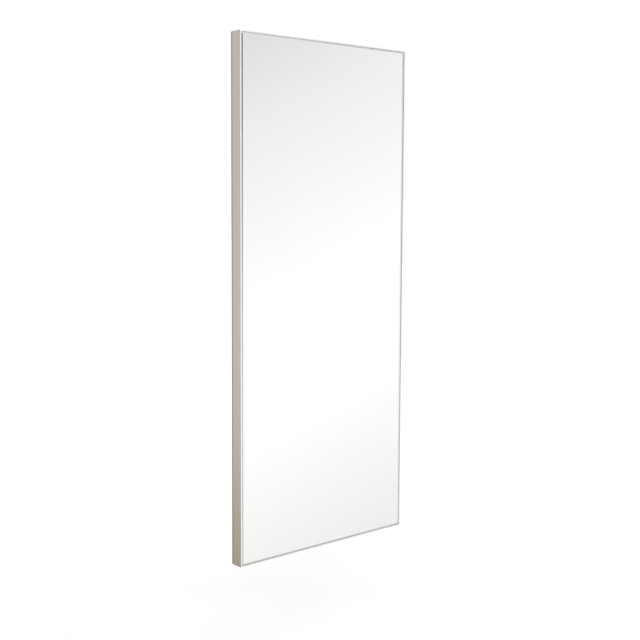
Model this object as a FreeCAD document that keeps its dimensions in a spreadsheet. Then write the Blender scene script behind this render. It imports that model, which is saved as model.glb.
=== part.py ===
"""Tall rectangular wall mirror: a bevelled glass pane in a deep, thin-rimmed metal frame.

Millimetres. +Z is up, +X is to the right as seen from the front, +Y points at the wall.
The origin is the middle of the wall plane, on which the four rubber bumpers stand.

A frame rail is drawn in its own coordinates: u runs inwards from the outer face, v runs
backwards from the front face, and the rail's length is centred on zero.
"""
import FreeCAD, Part
import math
import os
import re
import Sketcher

# Driving sizes: name, millimetres, what it measures
SIZES = (
    ("overall_width", 600.0, "outside width of the frame"),
    ("overall_height", 1400.0, "outside height of the frame"),
    ("frame_depth", 43.0, "front face of the rim to the back face of the rails"),
    ("wall_gap", 7.0, "back face of the rails to the wall"),
    ("rail_width", 25.0, "width of the hollow part of a rail"),
    ("rim_width", 3.5, "width of the rim that shows from the front"),
    ("outer_wall", 2.5, "thickness of a rail's outer wall"),
    ("web_thickness", 2.0, "thickness of a rail's other walls"),
    ("fin_width", 6.0, "fin inside a rail on which the back panel rests"),
    ("rib_width", 2.5, "rib inside a rail under which the panel springs catch"),
    ("rib_thickness", 1.2, "thickness of that rib"),
    ("rear_draft", 2.0, "how far the outer side draws in at its rear edge"),
    ("rear_draft_length", 8.0, "depth over which the outer side draws in"),
    ("rear_blend_radius", 20.0, "rounding where the outer side starts to draw in"),
    ("rear_edge_radius", 3.0, "rounding of the outer rear edge"),
    ("rim_edge_radius", 0.5, "rounding of the rim's two front edges"),
    ("mitre_relief", 0.05, "shortening of each rail end, which leaves the hairline of the mitre"),
    ("glass_thickness", 4.0, "thickness of the mirror pane"),
    ("glass_recess", 0.5, "rim face to the face of the pane"),
    ("glass_edge_gap", 0.3, "edge of the pane to the rim"),
    ("bevel_width", 4.0, "width of the pane's bevel, along its face"),
    ("bevel_depth", 1.2, "depth of the pane's bevel, along its edge"),
    ("silvering_thickness", 0.2, "silver, paint and safety film together"),
    ("silvering_gap", 0.02, "lacquer line between the glass and the silvering"),
    ("silvering_inset", 0.4, "edge of the glass to the edge of the silvering"),
    ("tape_thickness", 1.3, "foam mounting tape"),
    ("tape_width", 12.0, "width of the mounting tape"),
    ("tape_inset", 12.0, "outer face of the frame to the tape"),
    ("panel_thickness", 3.0, "hardboard back panel"),
    ("panel_clearance", 0.75, "edge of the back panel to the rails"),
    ("spring_room", 4.4, "back of the panel to the rib"),
    ("spring_length", 60.0, "length of a bowed panel spring, between its ends"),
    ("spring_width", 10.0, "width of a panel spring"),
    ("spring_thickness", 0.5, "spring strip"),
    ("spring_play", 0.1, "clearance of a spring at the panel and at the rib"),
    ("spring_edge_gap", 0.3, "edge of a spring to the rail beside it"),
    ("side_spring_spacing", 450.0, "spacing of the springs on the long rails"),
    ("end_spring_spacing", 260.0, "spacing of the springs on the short rails"),
    ("key_leg", 65.0, "outer corner of the frame to the end of a corner key's leg"),
    ("key_wall", 3.0, "wall round the windows of a corner key"),
    ("key_clearance", 0.15, "corner key to the walls of the rail's hollow"),
    ("corner_screw_margin", 20.0, "corner screw to the end of the key's leg"),
    ("corner_screw_level", 27.0, "front face of the rim to the axis of a corner screw"),
    ("screw_diameter", 4.0, "shank of every screw"),
    ("screw_length", 8.0, "screw under its head"),
    ("screw_point", 1.2, "length of the tapered point of a screw"),
    ("screw_head_diameter", 7.6, "pan head of every screw"),
    ("screw_head_height", 2.4, "pan head of every screw"),
    ("screw_head_rounding", 1.1, "rounding of the top of a head"),
    ("screw_slot_length", 4.4, "cross recess of a screw, end to end"),
    ("screw_slot_width", 1.0, "cross recess of a screw, across one slot"),
    ("screw_slot_depth", 1.3, "cross recess of a screw, below the top of the head"),
    ("screw_play", 0.1, "radial clearance of a screw in its holes"),
    ("fitting_line", 16.0, "outer face of the frame to the line of the hangers and bumpers"),
    ("hanger_drop", 300.0, "top of the frame to the ring axis of the two side hangers"),
    ("hanger_inset", 150.0, "left side of the frame to the ring axis of the two end hangers"),
    ("strap_width", 12.0, "width of a hanger strap"),
    ("strap_layer", 1.0, "one layer of the folded strap"),
    ("strap_screw_gap", 5.0, "end of the hanging ring to the first screw head"),
    ("strap_screw_pitch", 12.0, "spacing of a strap's two screws"),
    ("strap_end_margin", 7.0, "last screw of a strap to its end"),
    ("strap_end_radius", 5.0, "rounding of a strap's free corners"),
    ("ring_wire", 3.0, "wire of a hanging ring"),
    ("ring_play", 0.1, "radial clearance of the ring in its loop"),
    ("ring_rest_gap", 0.2, "hanging ring to the strap behind it"),
    ("ring_width", 18.0, "width of a ring between the centres of its wire"),
    ("ring_length", 17.0, "ring axis to the centre of the wire at the bow"),
    ("ring_corner_radius", 2.5, "bend of the wire beside the straight bar"),
    ("bumper_diameter", 12.0, "head of a wall bumper"),
    ("bumper_rounding", 1.0, "rounding of a bumper's face"),
    ("bumper_stem_diameter", 5.0, "stem of a wall bumper"),
    ("bumper_stem_length", 6.0, "stem of a wall bumper"),
    ("bumper_stem_play", 0.1, "radial clearance of the stem in its hole"),
    ("bumper_spacing", 25.0, "end of the corner key to the axis of a bumper"),
)

# Sizes worked out from the driving ones
FRONT = "(-(wall_gap + frame_depth))"
BACK = "(-wall_gap)"
HALF_WIDTH = "(overall_width / 2)"
HALF_HEIGHT = "(overall_height / 2)"
GLASS_BACK = "(glass_recess + glass_thickness)"
SILVER_FRONT = f"({GLASS_BACK} + silvering_gap)"
SILVER_BACK = f"({SILVER_FRONT} + silvering_thickness)"
LEDGE = f"({SILVER_BACK} + tape_thickness)"
LEDGE_BACK = f"({LEDGE} + web_thickness)"
FIN_END = "(rail_width + fin_width)"
PANEL_BACK = f"({LEDGE_BACK} + panel_thickness)"
RIB_FRONT = f"({PANEL_BACK} + spring_room)"
DRAFT_START = "(frame_depth - rear_draft_length)"
HOLLOW_END = "(rail_width - web_thickness)"
HOLLOW_BACK = "(frame_depth - web_thickness)"
GLASS_INSET = "(rim_width + glass_edge_gap)"
KEY_OUTER = "(outer_wall + key_clearance)"
KEY_INNER = f"({HOLLOW_END} - key_clearance)"
KEY_BACK = f"({HOLLOW_BACK} - key_clearance)"
KEY_THICKNESS = f"({KEY_BACK} - {LEDGE_BACK} - key_clearance)"
CORNER_SCREW = "(key_leg - corner_screw_margin)"
BUMPER = "(key_leg + bumper_spacing)"
SCREW_HOLE = "(screw_diameter + 2 * screw_play)"
STRAP = "(2 * strap_layer)"
LOOP_BORE = "(ring_wire + 2 * ring_play)"
LOOP_OUTSIDE = f"({LOOP_BORE} + 2 * strap_layer)"
PIVOT = f"({STRAP} + ring_rest_gap + ring_wire / 2)"
FIRST_SCREW = "(ring_length + ring_wire / 2 + strap_screw_gap + screw_head_diameter / 2)"
SECOND_SCREW = f"({FIRST_SCREW} + strap_screw_pitch)"
STRAP_END = f"({SECOND_SCREW} + strap_end_margin)"
SPRING_RISE = "(spring_room - 2 * spring_play)"
SPRING_REACH = "(spring_length / 2)"
SPRING_BEND = (
    f"(({SPRING_REACH}^2 + {SPRING_RISE}^2 - spring_thickness^2)"
    f" / (2 * ({SPRING_RISE} - spring_thickness)))"
)

# The four rails in turn: name, turn about Y in degrees, and the signs of the side they stand on
RAILS = (
    ("left", 0, -1, 0),
    ("top", 90, 0, 1),
    ("right", 180, 1, 0),
    ("bottom", 270, 0, -1),
)
# The four corners in turn: name, turn about Y in degrees, and the signs of X and Z
CORNERS = (
    ("top_left", 0, -1, 1),
    ("top_right", 90, 1, 1),
    ("bottom_right", 180, 1, -1),
    ("bottom_left", 270, -1, -1),
)
NAMES = {name for name, _, _ in SIZES}
CUT_MARGIN = "1"
SEED_RADIUS = 10.0
EDGE_TOLERANCE = 1e-4
UP = FreeCAD.Vector(0, 0, 1)
ACROSS = FreeCAD.Vector(1, 0, 0)
TOWARDS_WALL = FreeCAD.Vector(0, 1, 0)


def make_sheet(document):
    """Spreadsheet with one named cell for each driving size."""
    table = document.addObject("Spreadsheet::Sheet", "Sizes")
    for row, (name, value, note) in enumerate(SIZES, start=1):
        table.set(f"A{row}", note)
        table.set(f"B{row}", str(value))
        table.setAlias(f"B{row}", name)
    document.recompute()
    return table


doc = FreeCAD.newDocument("wall_mirror")
sheet = make_sheet(doc)


def linked(expression):
    """Expression in which every size name points at its cell."""

    def point(word):
        return f"Sizes.{word[0]}" if word[0] in NAMES else word[0]

    return re.sub(r"[a-z_]+", point, expression)


def bind(item, field, expression):
    """Tie one property of an object to an expression of the sizes."""
    item.setExpression(field, linked(expression))


def place(item, x, y, z, rotation=FreeCAD.Rotation()):
    """Put an object at a bound position, with a fixed rotation."""
    item.Placement = FreeCAD.Placement(FreeCAD.Vector(), rotation)
    for axis, expression in zip("xyz", (x, y, z)):
        bind(item, f"Placement.Base.{axis}", expression)


def turned(degrees):
    """Rotation about the axis that points at the wall."""
    return FreeCAD.Rotation(TOWARDS_WALL, degrees)


def signed(sign, expression):
    """Expression times a sign, or zero."""
    return f"{sign} * {expression}"


def new_body(label):
    """Empty body with its own label."""
    body = doc.addObject("PartDesign::Body", label)
    body.Label = label
    return body


def new_sketch(body, name, plane, offset="0"):
    """Sketch on one of the body's origin planes, moved along the plane's normal."""
    sketch = body.newObject("Sketcher::SketchObject", name)
    origin_plane = next(item for item in body.Origin.OriginFeatures if item.Role == plane)
    sketch.AttachmentSupport = [(origin_plane, "")]
    sketch.MapMode = "FlatFace"
    bind(sketch, "AttachmentOffset.Base.z", offset)
    return sketch


def pin_point(sketch, geometry, end, x, y):
    """Fix one end of a sketch line, or a circle's centre, at a bound position."""
    for kind, expression in (("DistanceX", x), ("DistanceY", y)):
        index = sketch.addConstraint(Sketcher.Constraint(kind, -1, 1, geometry, end, 0.0))
        bind(sketch, f"Constraints[{index}]", expression)


def outline(sketch, corners):
    """Closed straight-sided outline through corners given as pairs of expressions."""
    count = len(corners)
    first = sketch.GeometryCount
    turns = [2 * math.pi * step / count for step in range(count)]
    seeds = [FreeCAD.Vector(math.cos(turn), math.sin(turn), 0) * SEED_RADIUS for turn in turns]
    for step in range(count):
        sketch.addGeometry(Part.LineSegment(seeds[step], seeds[(step + 1) % count]), False)
    for step in range(count):
        following = first + (step + 1) % count
        sketch.addConstraint(Sketcher.Constraint("Coincident", first + step, 2, following, 1))
    for step, (x, y) in enumerate(corners):
        pin_point(sketch, first + step, 1, x, y)


def rectangle(sketch, left, low, right, high):
    """Upright rectangle between bound sides."""
    outline(sketch, ((left, low), (right, low), (right, high), (left, high)))


def circle(sketch, x, y, diameter):
    """Circle with a bound centre and diameter."""
    index = sketch.addGeometry(Part.Circle(FreeCAD.Vector(), UP, SEED_RADIUS), False)
    pin_point(sketch, index, 3, x, y)
    size = sketch.addConstraint(Sketcher.Constraint("Diameter", index, 2 * SEED_RADIUS))
    bind(sketch, f"Constraints[{size}]", diameter)


def pad(body, sketch, name, length, side="One side"):
    """Pad a sketch along its normal, or to both sides of it."""
    feature = body.newObject("PartDesign::Pad", name)
    feature.Profile = sketch
    feature.SideType = side
    bind(feature, "Length", length)
    return feature


def pocket(body, sketch, name, depth):
    """Cut a sketch to a depth on both sides of its plane."""
    feature = body.newObject("PartDesign::Pocket", name)
    feature.Profile = sketch
    feature.SideType = "Symmetric"
    bind(feature, "Length", f"2 * {depth}")
    return feature


def revolve(body, sketch, name):
    """Turn a half section about the sketch's upright axis."""
    feature = body.newObject("PartDesign::Revolution", name)
    feature.Profile = sketch
    feature.ReferenceAxis = (sketch, ["V_Axis"])
    return feature


def fillet(body, feature, name, radius, belongs):
    """Round the edges of the last feature whose centres pass a test."""
    doc.recompute()
    edges = [
        f"Edge{number}"
        for number, edge in enumerate(feature.Shape.Edges, start=1)
        if belongs(edge.CenterOfMass)
    ]
    rounding = body.newObject("PartDesign::Fillet", name)
    rounding.Base = (feature, edges)
    bind(rounding, "Radius", radius)
    return rounding


def near(value, target):
    """Whether two lengths are the same."""
    return abs(value - target) < EDGE_TOLERANCE


def box(label, x, y, z, sides):
    """Plain block with bound sides, from its lowest corner."""
    block = doc.addObject("Part::Box", label)
    block.Label = label
    for field, side in zip(("Length", "Width", "Height"), sides):
        bind(block, field, side)
    place(block, x, y, z)
    return block


def group(label, members):
    """One node that holds several separate solids."""
    compound = doc.addObject("Part::Compound", label)
    compound.Label = label
    compound.Links = members
    return compound


def rail_profile(body):
    """Cross section of a rail: rim, glass ledge with its fin, spring rib and hollow."""
    sketch = new_sketch(body, "profile", "XY_Plane")
    rib_end = "(rail_width + rib_width)"
    rib_back = f"({RIB_FRONT} + rib_thickness)"
    outline(
        sketch,
        (
            ("0", "0"),
            ("rim_width", "0"),
            ("rim_width", LEDGE),
            (FIN_END, LEDGE),
            (FIN_END, LEDGE_BACK),
            ("rail_width", LEDGE_BACK),
            ("rail_width", RIB_FRONT),
            (rib_end, RIB_FRONT),
            (rib_end, rib_back),
            ("rail_width", rib_back),
            ("rail_width", "frame_depth"),
            ("rear_draft", "frame_depth"),
            ("0", DRAFT_START),
        ),
    )
    rectangle(sketch, "outer_wall", LEDGE_BACK, HOLLOW_END, HOLLOW_BACK)
    return sketch


def mitre_cut(body, length):
    """Cut both ends of a rail back at 45 degrees, shortest at the inner side."""
    sketch = new_sketch(body, "mitres", "XZ_Plane")
    tip = f"({length} / 2 - mitre_relief + {CUT_MARGIN})"
    heel = f"({length} / 2 - mitre_relief - {FIN_END} - {CUT_MARGIN})"
    beyond = f"({FIN_END} + {CUT_MARGIN})"
    for sign in (1, -1):
        outline(
            sketch,
            (
                (f"-{CUT_MARGIN}", signed(sign, tip)),
                (beyond, signed(sign, heel)),
                (beyond, signed(sign, tip)),
            ),
        )
    pocket(body, sketch, "mitre_cut", f"(frame_depth + {CUT_MARGIN})")


def frame_rail(side, turn, side_x, side_z):
    """One mitred rail of the frame, with the holes for what is fastened to it."""
    upright = side_x != 0
    length = "overall_height" if upright else "overall_width"
    body = new_body(f"frame_rail_{side}")
    bar = pad(body, rail_profile(body), "extrusion", length, "Symmetric")
    depth = sheet.get("frame_depth")
    rim = sheet.get("rim_width")
    draft = sheet.get("rear_draft")
    draft_start = depth - sheet.get("rear_draft_length")
    blend = fillet(
        body, bar, "rear_blend", "rear_blend_radius",
        lambda centre: near(centre.x, 0) and near(centre.y, draft_start),
    )
    rear = fillet(
        body, blend, "rear_edge", "rear_edge_radius",
        lambda centre: near(centre.x, draft) and near(centre.y, depth),
    )
    fillet(
        body, rear, "rim_edges", "rim_edge_radius",
        lambda centre: near(centre.y, 0) and (near(centre.x, 0) or near(centre.x, rim)),
    )
    mitre_cut(body, length)

    back_holes = new_sketch(body, "back_holes", "XZ_Plane", "-frame_depth")
    along = -1 if turn >= 180 else 1
    for distance in (FIRST_SCREW, SECOND_SCREW):
        if upright:
            hanger = f"({HALF_HEIGHT} - hanger_drop - {distance})"
        else:
            hanger = f"(hanger_inset + {distance} - {HALF_WIDTH})"
        circle(back_holes, "fitting_line", signed(along, hanger), SCREW_HOLE)
    if upright:
        stem_hole = "(bumper_stem_diameter + 2 * bumper_stem_play)"
        for sign in (1, -1):
            circle(back_holes, "fitting_line", signed(sign, f"({HALF_HEIGHT} - {BUMPER})"), stem_hole)
    pocket(body, back_holes, "back_hole_cut", "web_thickness")

    key_holes = new_sketch(body, "key_holes", "YZ_Plane", "rail_width")
    from_middle = f"({length} / 2 - {CORNER_SCREW})"
    for sign in (1, -1):
        circle(key_holes, "corner_screw_level", signed(sign, from_middle), SCREW_HOLE)
    pocket(body, key_holes, "key_hole_cut", "web_thickness")

    place(body, signed(side_x, HALF_WIDTH), FRONT, signed(side_z, HALF_HEIGHT), turned(turn))
    return body


def corner_key(corner, turn, side_x, side_z):
    """L-shaped key that joins two rails inside their hollows, drawn for the top left corner."""
    body = new_body(f"corner_key_{corner}")
    section = new_sketch(body, "section", "XZ_Plane")
    outline(
        section,
        (
            (KEY_OUTER, f"-{KEY_OUTER}"),
            ("key_leg", f"-{KEY_OUTER}"),
            ("key_leg", f"-{KEY_INNER}"),
            (KEY_INNER, f"-{KEY_INNER}"),
            (KEY_INNER, "-key_leg"),
            (KEY_OUTER, "-key_leg"),
        ),
    )
    near_side = f"({KEY_OUTER} + key_wall)"
    far_side = f"({KEY_INNER} - key_wall)"
    start = f"({KEY_INNER} + key_wall)"
    end = "(key_leg - key_wall)"
    rectangle(section, start, f"-{far_side}", end, f"-{near_side}")
    rectangle(section, near_side, f"-{end}", far_side, f"-{start}")
    pad(body, section, "casting", KEY_THICKNESS)

    level = f"(corner_screw_level - {KEY_BACK})"
    top_hole = new_sketch(body, "top_hole", "XY_Plane", f"-{KEY_INNER}")
    circle(top_hole, CORNER_SCREW, level, SCREW_HOLE)
    pocket(body, top_hole, "top_hole_cut", "key_wall")
    side_hole = new_sketch(body, "side_hole", "YZ_Plane", KEY_INNER)
    circle(side_hole, level, f"-{CORNER_SCREW}", SCREW_HOLE)
    pocket(body, side_hole, "side_hole_cut", "key_wall")

    back = f"({FRONT} + {KEY_BACK})"
    place(body, signed(side_x, HALF_WIDTH), back, signed(side_z, HALF_HEIGHT), turned(turn))
    return body


def screw(label):
    """Pan-head screw with a cross recess: head upwards, its seat at zero."""
    body = new_body(label)
    half = new_sketch(body, "half_section", "XZ_Plane")
    outline(
        half,
        (
            ("0", "-screw_length"),
            ("screw_diameter / 4", "-screw_length"),
            ("screw_diameter / 2", "screw_point - screw_length"),
            ("screw_diameter / 2", "0"),
            ("screw_head_diameter / 2", "0"),
            ("screw_head_diameter / 2", "screw_head_height"),
            ("0", "screw_head_height"),
        ),
    )
    turning = revolve(body, half, "turning")
    top = sheet.get("screw_head_height")
    fillet(
        body, turning, "head_rounding", "screw_head_rounding",
        lambda centre: near(centre.z, top),
    )
    recess = new_sketch(body, "recess", "XY_Plane", "screw_head_height")
    arm = "(screw_slot_length / 2)"
    side = "(screw_slot_width / 2)"
    outline(
        recess,
        (
            (arm, f"-{side}"), (arm, side), (side, side), (side, arm),
            (f"-{side}", arm), (f"-{side}", side), (f"-{arm}", side), (f"-{arm}", f"-{side}"),
            (f"-{side}", f"-{side}"), (f"-{side}", f"-{arm}"), (side, f"-{arm}"), (side, f"-{side}"),
        ),
    )
    pocket(body, recess, "recess_cut", "screw_slot_depth")
    return body


def corner_screws():
    """Two screws at each corner, through the rails' inner walls into the keys."""
    members = []
    inside_x = f"({HALF_WIDTH} - rail_width)"
    inside_z = f"({HALF_HEIGHT} - rail_width)"
    level = f"({FRONT} + corner_screw_level)"
    for corner, _, side_x, side_z in CORNERS:
        in_side_rail = screw(f"side_corner_screw_{corner}")
        height = signed(side_z, f"({HALF_HEIGHT} - {CORNER_SCREW})")
        place(in_side_rail, signed(side_x, inside_x), level, height, turned(-90 * side_x))
        in_end_rail = screw(f"end_corner_screw_{corner}")
        across = signed(side_x, f"({HALF_WIDTH} - {CORNER_SCREW})")
        place(in_end_rail, across, level, signed(side_z, inside_z), turned(90 + 90 * side_z))
        members += [in_side_rail, in_end_rail]
    return group("corner_screws", members)


def mirror_glass():
    """Pane with a flat back and a narrow bevel round its front."""
    body = new_body("mirror_glass")
    reach_x = f"({HALF_WIDTH} - {GLASS_INSET})"
    reach_z = f"({HALF_HEIGHT} - {GLASS_INSET})"
    back = new_sketch(body, "back_face", "XZ_Plane")
    rectangle(back, f"-{reach_x}", f"-{reach_z}", reach_x, reach_z)
    edge = "(glass_thickness - bevel_depth)"
    pad(body, back, "pane", edge)
    sections = []
    for name, level, inset in (("bevel_foot", edge, "0"), ("bevel_top", "glass_thickness", "bevel_width")):
        section = new_sketch(body, name, "XZ_Plane", level)
        wide = f"({reach_x} - {inset})"
        high = f"({reach_z} - {inset})"
        rectangle(section, f"-{wide}", f"-{high}", wide, high)
        sections.append(section)
    bevel = body.newObject("PartDesign::AdditiveLoft", "bevel")
    bevel.Profile = sections[0]
    bevel.Sections = sections[1:]
    bevel.Ruled = True
    place(body, "0", f"({FRONT} + {GLASS_BACK})", "0")
    return body


def mirror_silvering():
    """Silver layer on the back of the pane, with its paint and safety film."""
    reach_x = f"({HALF_WIDTH} - {GLASS_INSET} - silvering_inset)"
    reach_z = f"({HALF_HEIGHT} - {GLASS_INSET} - silvering_inset)"
    return box(
        "mirror_silvering",
        f"-{reach_x}", f"({FRONT} + {SILVER_FRONT})", f"-{reach_z}",
        (f"2 * {reach_x}", "silvering_thickness", f"2 * {reach_z}"),
    )


def mounting_tapes():
    """Four foam tape strips that bond the pane to the rails' ledges; the side ones run between."""
    level = f"({FRONT} + {SILVER_BACK})"
    end_length = "(overall_width - 2 * tape_inset)"
    side_length = "(overall_height - 2 * tape_inset - 2 * tape_width)"
    start_x = f"(tape_inset - {HALF_WIDTH})"
    start_z = f"(tape_inset - {HALF_HEIGHT})"
    far_x = f"({HALF_WIDTH} - tape_inset - tape_width)"
    far_z = f"({HALF_HEIGHT} - tape_inset - tape_width)"
    strips = (
        ("left", start_x, f"({start_z} + tape_width)", "tape_width", side_length),
        ("right", far_x, f"({start_z} + tape_width)", "tape_width", side_length),
        ("bottom", start_x, start_z, end_length, "tape_width"),
        ("top", start_x, far_z, end_length, "tape_width"),
    )
    return [
        box(f"mounting_tape_{side}", x, level, z, (width, "tape_thickness", height))
        for side, x, z, width, height in strips
    ]


def back_panel():
    """Hardboard panel that closes the back, resting on the rails' fins."""
    edge = "(rail_width + panel_clearance)"
    return box(
        "back_panel",
        f"({edge} - {HALF_WIDTH})", f"({FRONT} + {LEDGE_BACK})", f"({edge} - {HALF_HEIGHT})",
        (f"(overall_width - 2 * {edge})", "panel_thickness", f"(overall_height - 2 * {edge})"),
    )


def panel_spring(label):
    """Bowed strip: its middle lies on the panel and its two ends lie under the rib."""
    body = new_body(label)
    strip = new_sketch(body, "strip", "XY_Plane")
    half = "(spring_width / 2)"
    rectangle(strip, f"-{half}", "0", half, "spring_thickness")
    ends = (FreeCAD.Vector(-SEED_RADIUS, SEED_RADIUS, 0), FreeCAD.Vector(SEED_RADIUS, SEED_RADIUS, 0))
    axis = strip.addGeometry(Part.LineSegment(*ends), True)
    pin_point(strip, axis, 1, f"-{half}", SPRING_BEND)
    pin_point(strip, axis, 2, half, SPRING_BEND)
    bow = body.newObject("PartDesign::Revolution", "bow")
    bow.Profile = strip
    bow.ReferenceAxis = (strip, ["Axis0"])
    bow.Midplane = True
    bind(bow, "Angle", f"2 * asin({SPRING_REACH} / ({SPRING_BEND} - spring_thickness))")
    return body


def panel_springs():
    """Three springs on each long rail and two on each short one."""
    members = []
    level = f"({FRONT} + {PANEL_BACK} + spring_play)"
    inset = "(rail_width + spring_edge_gap + spring_width / 2)"
    for side, turn, side_x, side_z in RAILS:
        steps = (-1, 0, 1) if side_x else (-0.5, 0.5)
        spacing = "side_spring_spacing" if side_x else "end_spring_spacing"
        for number, step in enumerate(steps, start=1):
            spring = panel_spring(f"panel_spring_{side}_{number}")
            along = f"({step} * {spacing})"
            x = signed(side_x, f"({HALF_WIDTH} - {inset})") if side_x else along
            z = along if side_x else signed(side_z, f"({HALF_HEIGHT} - {inset})")
            place(spring, x, level, z, turned(turn))
            members.append(spring)
    return group("panel_springs", members)


def hanger_places():
    """Name, turn about Y, and ring axis position in X and Z of the four hangers."""
    side_x = f"({HALF_WIDTH} - fitting_line)"
    end_z = f"({HALF_HEIGHT} - fitting_line)"
    height = f"({HALF_HEIGHT} - hanger_drop)"
    across = f"(hanger_inset - {HALF_WIDTH})"
    return (
        ("left", 0, f"-{side_x}", height),
        ("right", 0, side_x, height),
        ("top", -90, across, end_z),
        ("bottom", -90, across, f"-{end_z}"),
    )


def hanger_strap(side, turn, x, z):
    """Folded strap with a loop for the ring at its top and two screw holes below."""
    body = new_body(f"hanger_strap_{side}")
    plate = new_sketch(body, "plate", "YZ_Plane")
    rectangle(plate, "0", f"-{STRAP_END}", STRAP, "0")
    flat = pad(body, plate, "plate_pad", "strap_width", "Symmetric")
    half_width = sheet.get("strap_width") / 2
    fillet(
        body, flat, "free_corners", "strap_end_radius",
        lambda centre: near(centre.z, flat.Shape.BoundBox.ZMin) and near(abs(centre.x), half_width),
    )

    saddle = new_sketch(body, "saddle", "YZ_Plane")
    radius = f"({LOOP_OUTSIDE} / 2)"
    rectangle(saddle, "0", f"-{radius}", PIVOT, radius)
    pad(body, saddle, "saddle_pad", "strap_width", "Symmetric")
    loop = new_sketch(body, "loop", "YZ_Plane")
    circle(loop, PIVOT, "0", LOOP_OUTSIDE)
    pad(body, loop, "loop_pad", "strap_width", "Symmetric")
    bore = new_sketch(body, "bore", "YZ_Plane")
    circle(bore, PIVOT, "0", LOOP_BORE)
    pocket(body, bore, "bore_cut", "strap_width")
    holes = new_sketch(body, "screw_holes", "XZ_Plane")
    for distance in (FIRST_SCREW, SECOND_SCREW):
        circle(holes, "0", f"-{distance}", SCREW_HOLE)
    pocket(body, holes, "screw_hole_cut", f"({STRAP} + {CUT_MARGIN})")
    place(body, x, BACK, z, turned(turn))
    return body


def wire_run(label, x, z, length, rotation=FreeCAD.Rotation()):
    """Straight run of the ring's wire."""
    run = doc.addObject("Part::Cylinder", label)
    bind(run, "Radius", "ring_wire / 2")
    bind(run, "Height", length)
    place(run, x, "0", z, rotation)
    return run


def wire_bend(label, x, z, radius, start, sweep):
    """Bend of the ring's wire about an axis that points at the wall."""
    bend = doc.addObject("Part::Torus", label)
    bind(bend, "Radius1", radius)
    bind(bend, "Radius2", "ring_wire / 2")
    bend.Angle3 = sweep
    standing = FreeCAD.Rotation(ACROSS, 90)
    place(bend, x, "0", z, standing.multiply(FreeCAD.Rotation(UP, start)))
    return bend


def hanger_ring(side, turn, x, z):
    """D-shaped wire ring that hangs from its straight bar."""
    half_bar = "(ring_width / 2 - ring_corner_radius)"
    bow_level = "(ring_width / 2 - ring_length)"
    side_length = "(ring_length - ring_width / 2 - ring_corner_radius)"
    name = f"hanger_ring_{side}"
    runs = [
        wire_run(f"{name}_bar", f"-{half_bar}", "0", f"2 * {half_bar}", turned(90)),
        wire_run(f"{name}_left_side", "-ring_width / 2", bow_level, side_length),
        wire_run(f"{name}_right_side", "ring_width / 2", bow_level, side_length),
    ]
    bends = [
        wire_bend(f"{name}_right_bend", half_bar, "-ring_corner_radius", "ring_corner_radius", 0, 90),
        wire_bend(f"{name}_left_bend", f"-{half_bar}", "-ring_corner_radius", "ring_corner_radius", 90, 90),
        wire_bend(f"{name}_bow", "0", bow_level, "ring_width / 2", 180, 180),
    ]
    ring = doc.addObject("Part::MultiFuse", name)
    ring.Label = name
    ring.Shapes = runs + bends
    ring.Refine = True
    place(ring, x, f"({BACK} + {PIVOT})", z, turned(turn))
    return ring


def hanger_screws():
    """Two screws through each hanger strap into the back of its rail."""
    members = []
    facing_wall = FreeCAD.Rotation(ACROSS, -90)
    for side, turn, x, z in hanger_places():
        for number, distance in enumerate((FIRST_SCREW, SECOND_SCREW), start=1):
            fastener = screw(f"hanger_screw_{side}_{number}")
            screw_x = x if turn == 0 else f"({x} + {distance})"
            screw_z = f"({z} - {distance})" if turn == 0 else z
            place(fastener, screw_x, f"({BACK} + {STRAP})", screw_z, facing_wall)
            members.append(fastener)
    return group("hanger_screws", members)


def wall_bumper(corner, _, side_x, side_z):
    """Rubber bumper pushed into the back of a side rail."""
    body = new_body(f"wall_bumper_{corner}")
    half = new_sketch(body, "half_section", "XY_Plane")
    outline(
        half,
        (
            ("0", "-bumper_stem_length"),
            ("bumper_stem_diameter / 2", "-bumper_stem_length"),
            ("bumper_stem_diameter / 2", "0"),
            ("bumper_diameter / 2", "0"),
            ("bumper_diameter / 2", "wall_gap"),
            ("0", "wall_gap"),
        ),
    )
    moulding = revolve(body, half, "moulding")
    face = sheet.get("wall_gap")
    fillet(body, moulding, "face_rounding", "bumper_rounding", lambda centre: near(centre.y, face))
    x = signed(side_x, f"({HALF_WIDTH} - fitting_line)")
    place(body, x, BACK, signed(side_z, f"({HALF_HEIGHT} - {BUMPER})"))
    return body


def check(document, nodes):
    """Stop if an object failed, a cut removed nothing, or a node has no valid solid."""
    for item in document.Objects:
        if "Invalid" in item.State or "Error" in item.State:
            raise RuntimeError(f"{item.Label} failed: {item.State}")
        if item.TypeId == "PartDesign::Pocket":
            if item.Shape.Volume >= item.BaseFeature.Shape.Volume:
                raise RuntimeError(f"{item.Label} cuts nothing")
    for node in nodes:
        if node.Shape.isNull() or not node.Shape.isValid() or not node.Shape.Solids:
            raise RuntimeError(f"{node.Label} has no valid solid")


def export(nodes):
    """Write each node to its own file."""
    os.makedirs("parts", exist_ok=True)
    for node in nodes:
        node.Shape.exportStep(f"parts/{node.Label}.step")
        print(node.Label, len(node.Shape.Solids), round(node.Shape.Volume, 1))


def build():
    """Make every piece of the mirror."""
    nodes = [frame_rail(*rail) for rail in RAILS]
    nodes += [corner_key(*corner) for corner in CORNERS]
    nodes += [corner_screws(), mirror_glass(), mirror_silvering()]
    nodes += mounting_tapes()
    nodes += [back_panel(), panel_springs()]
    for hanger in hanger_places():
        nodes += [hanger_strap(*hanger), hanger_ring(*hanger)]
    nodes.append(hanger_screws())
    nodes += [wall_bumper(*corner) for corner in CORNERS]
    return nodes


pieces = build()
doc.recompute()
check(doc, pieces)
export(pieces)
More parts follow.
